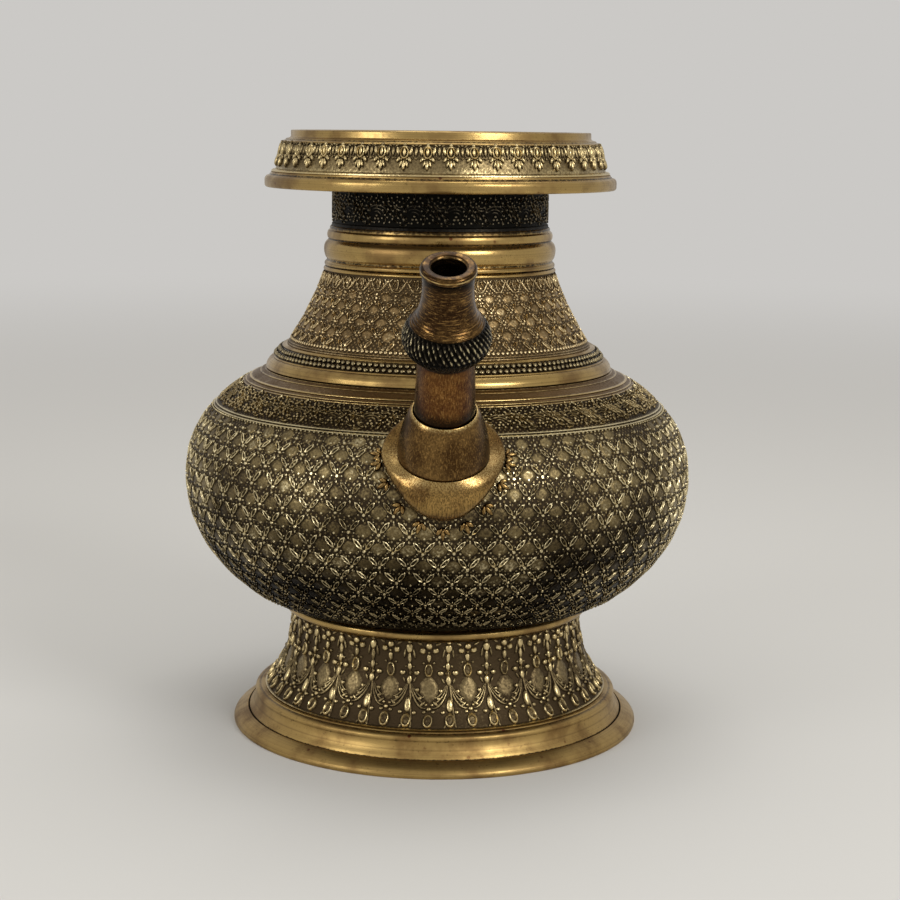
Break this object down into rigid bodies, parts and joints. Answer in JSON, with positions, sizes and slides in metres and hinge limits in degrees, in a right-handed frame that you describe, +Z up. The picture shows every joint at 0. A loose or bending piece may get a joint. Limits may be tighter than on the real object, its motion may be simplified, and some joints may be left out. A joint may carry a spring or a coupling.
{
  "type": "spouted water vase",
  "caption": "Squat brass water vase with a wide drum rim on a short neck, flaring shoulder, spreading foot and one upright spout with a fluted knop.",
  "frame": {"origin": "middle of the vase's box, spout included, at the level it stands on; the turned body's axis is 20 mm behind it", "axes": "+Z up along the body's axis, -Y the way the spout points, +X to the right as the spout faces the viewer"},
  "size_m": [0.2044, 0.2438, 0.24],
  "materials": {
    "brass_polished": "worn polish with fine turning lines",
    "brass_chased": "chased relief with dark patina in the ground",
    "brass_dark": "dark oxidised relief",
    "brass_spout": "brushed, reddish brown patina, rubbed bright"
  },
  "bodies": {
    "root": {"foot_rim_ring": "brass_polished", "foot_flange": "brass_polished", "foot_skirt": "brass_chased", "foot_bead_ring": "brass_polished", "belly_lower": "brass_chased", "belly_upper": "brass_chased", "shoulder_bead_ring": "brass_polished", "shoulder_cone": "brass_chased", "neck_tube": "brass_dark", "neck_collar_ring": "brass_polished", "rim_dish": "brass_polished", "rim_flange_ring": "brass_polished", "rim_frieze_band": "brass_chased", "rim_lip_ring": "brass_polished", "spout_boss": "brass_spout", "spout_socket": "brass_spout", "spout_tube": "brass_spout", "spout_knop": "brass_dark", "spout_nozzle": "brass_spout", "spout_lip_ring": "brass_spout"}
  },
  "joints": []
}
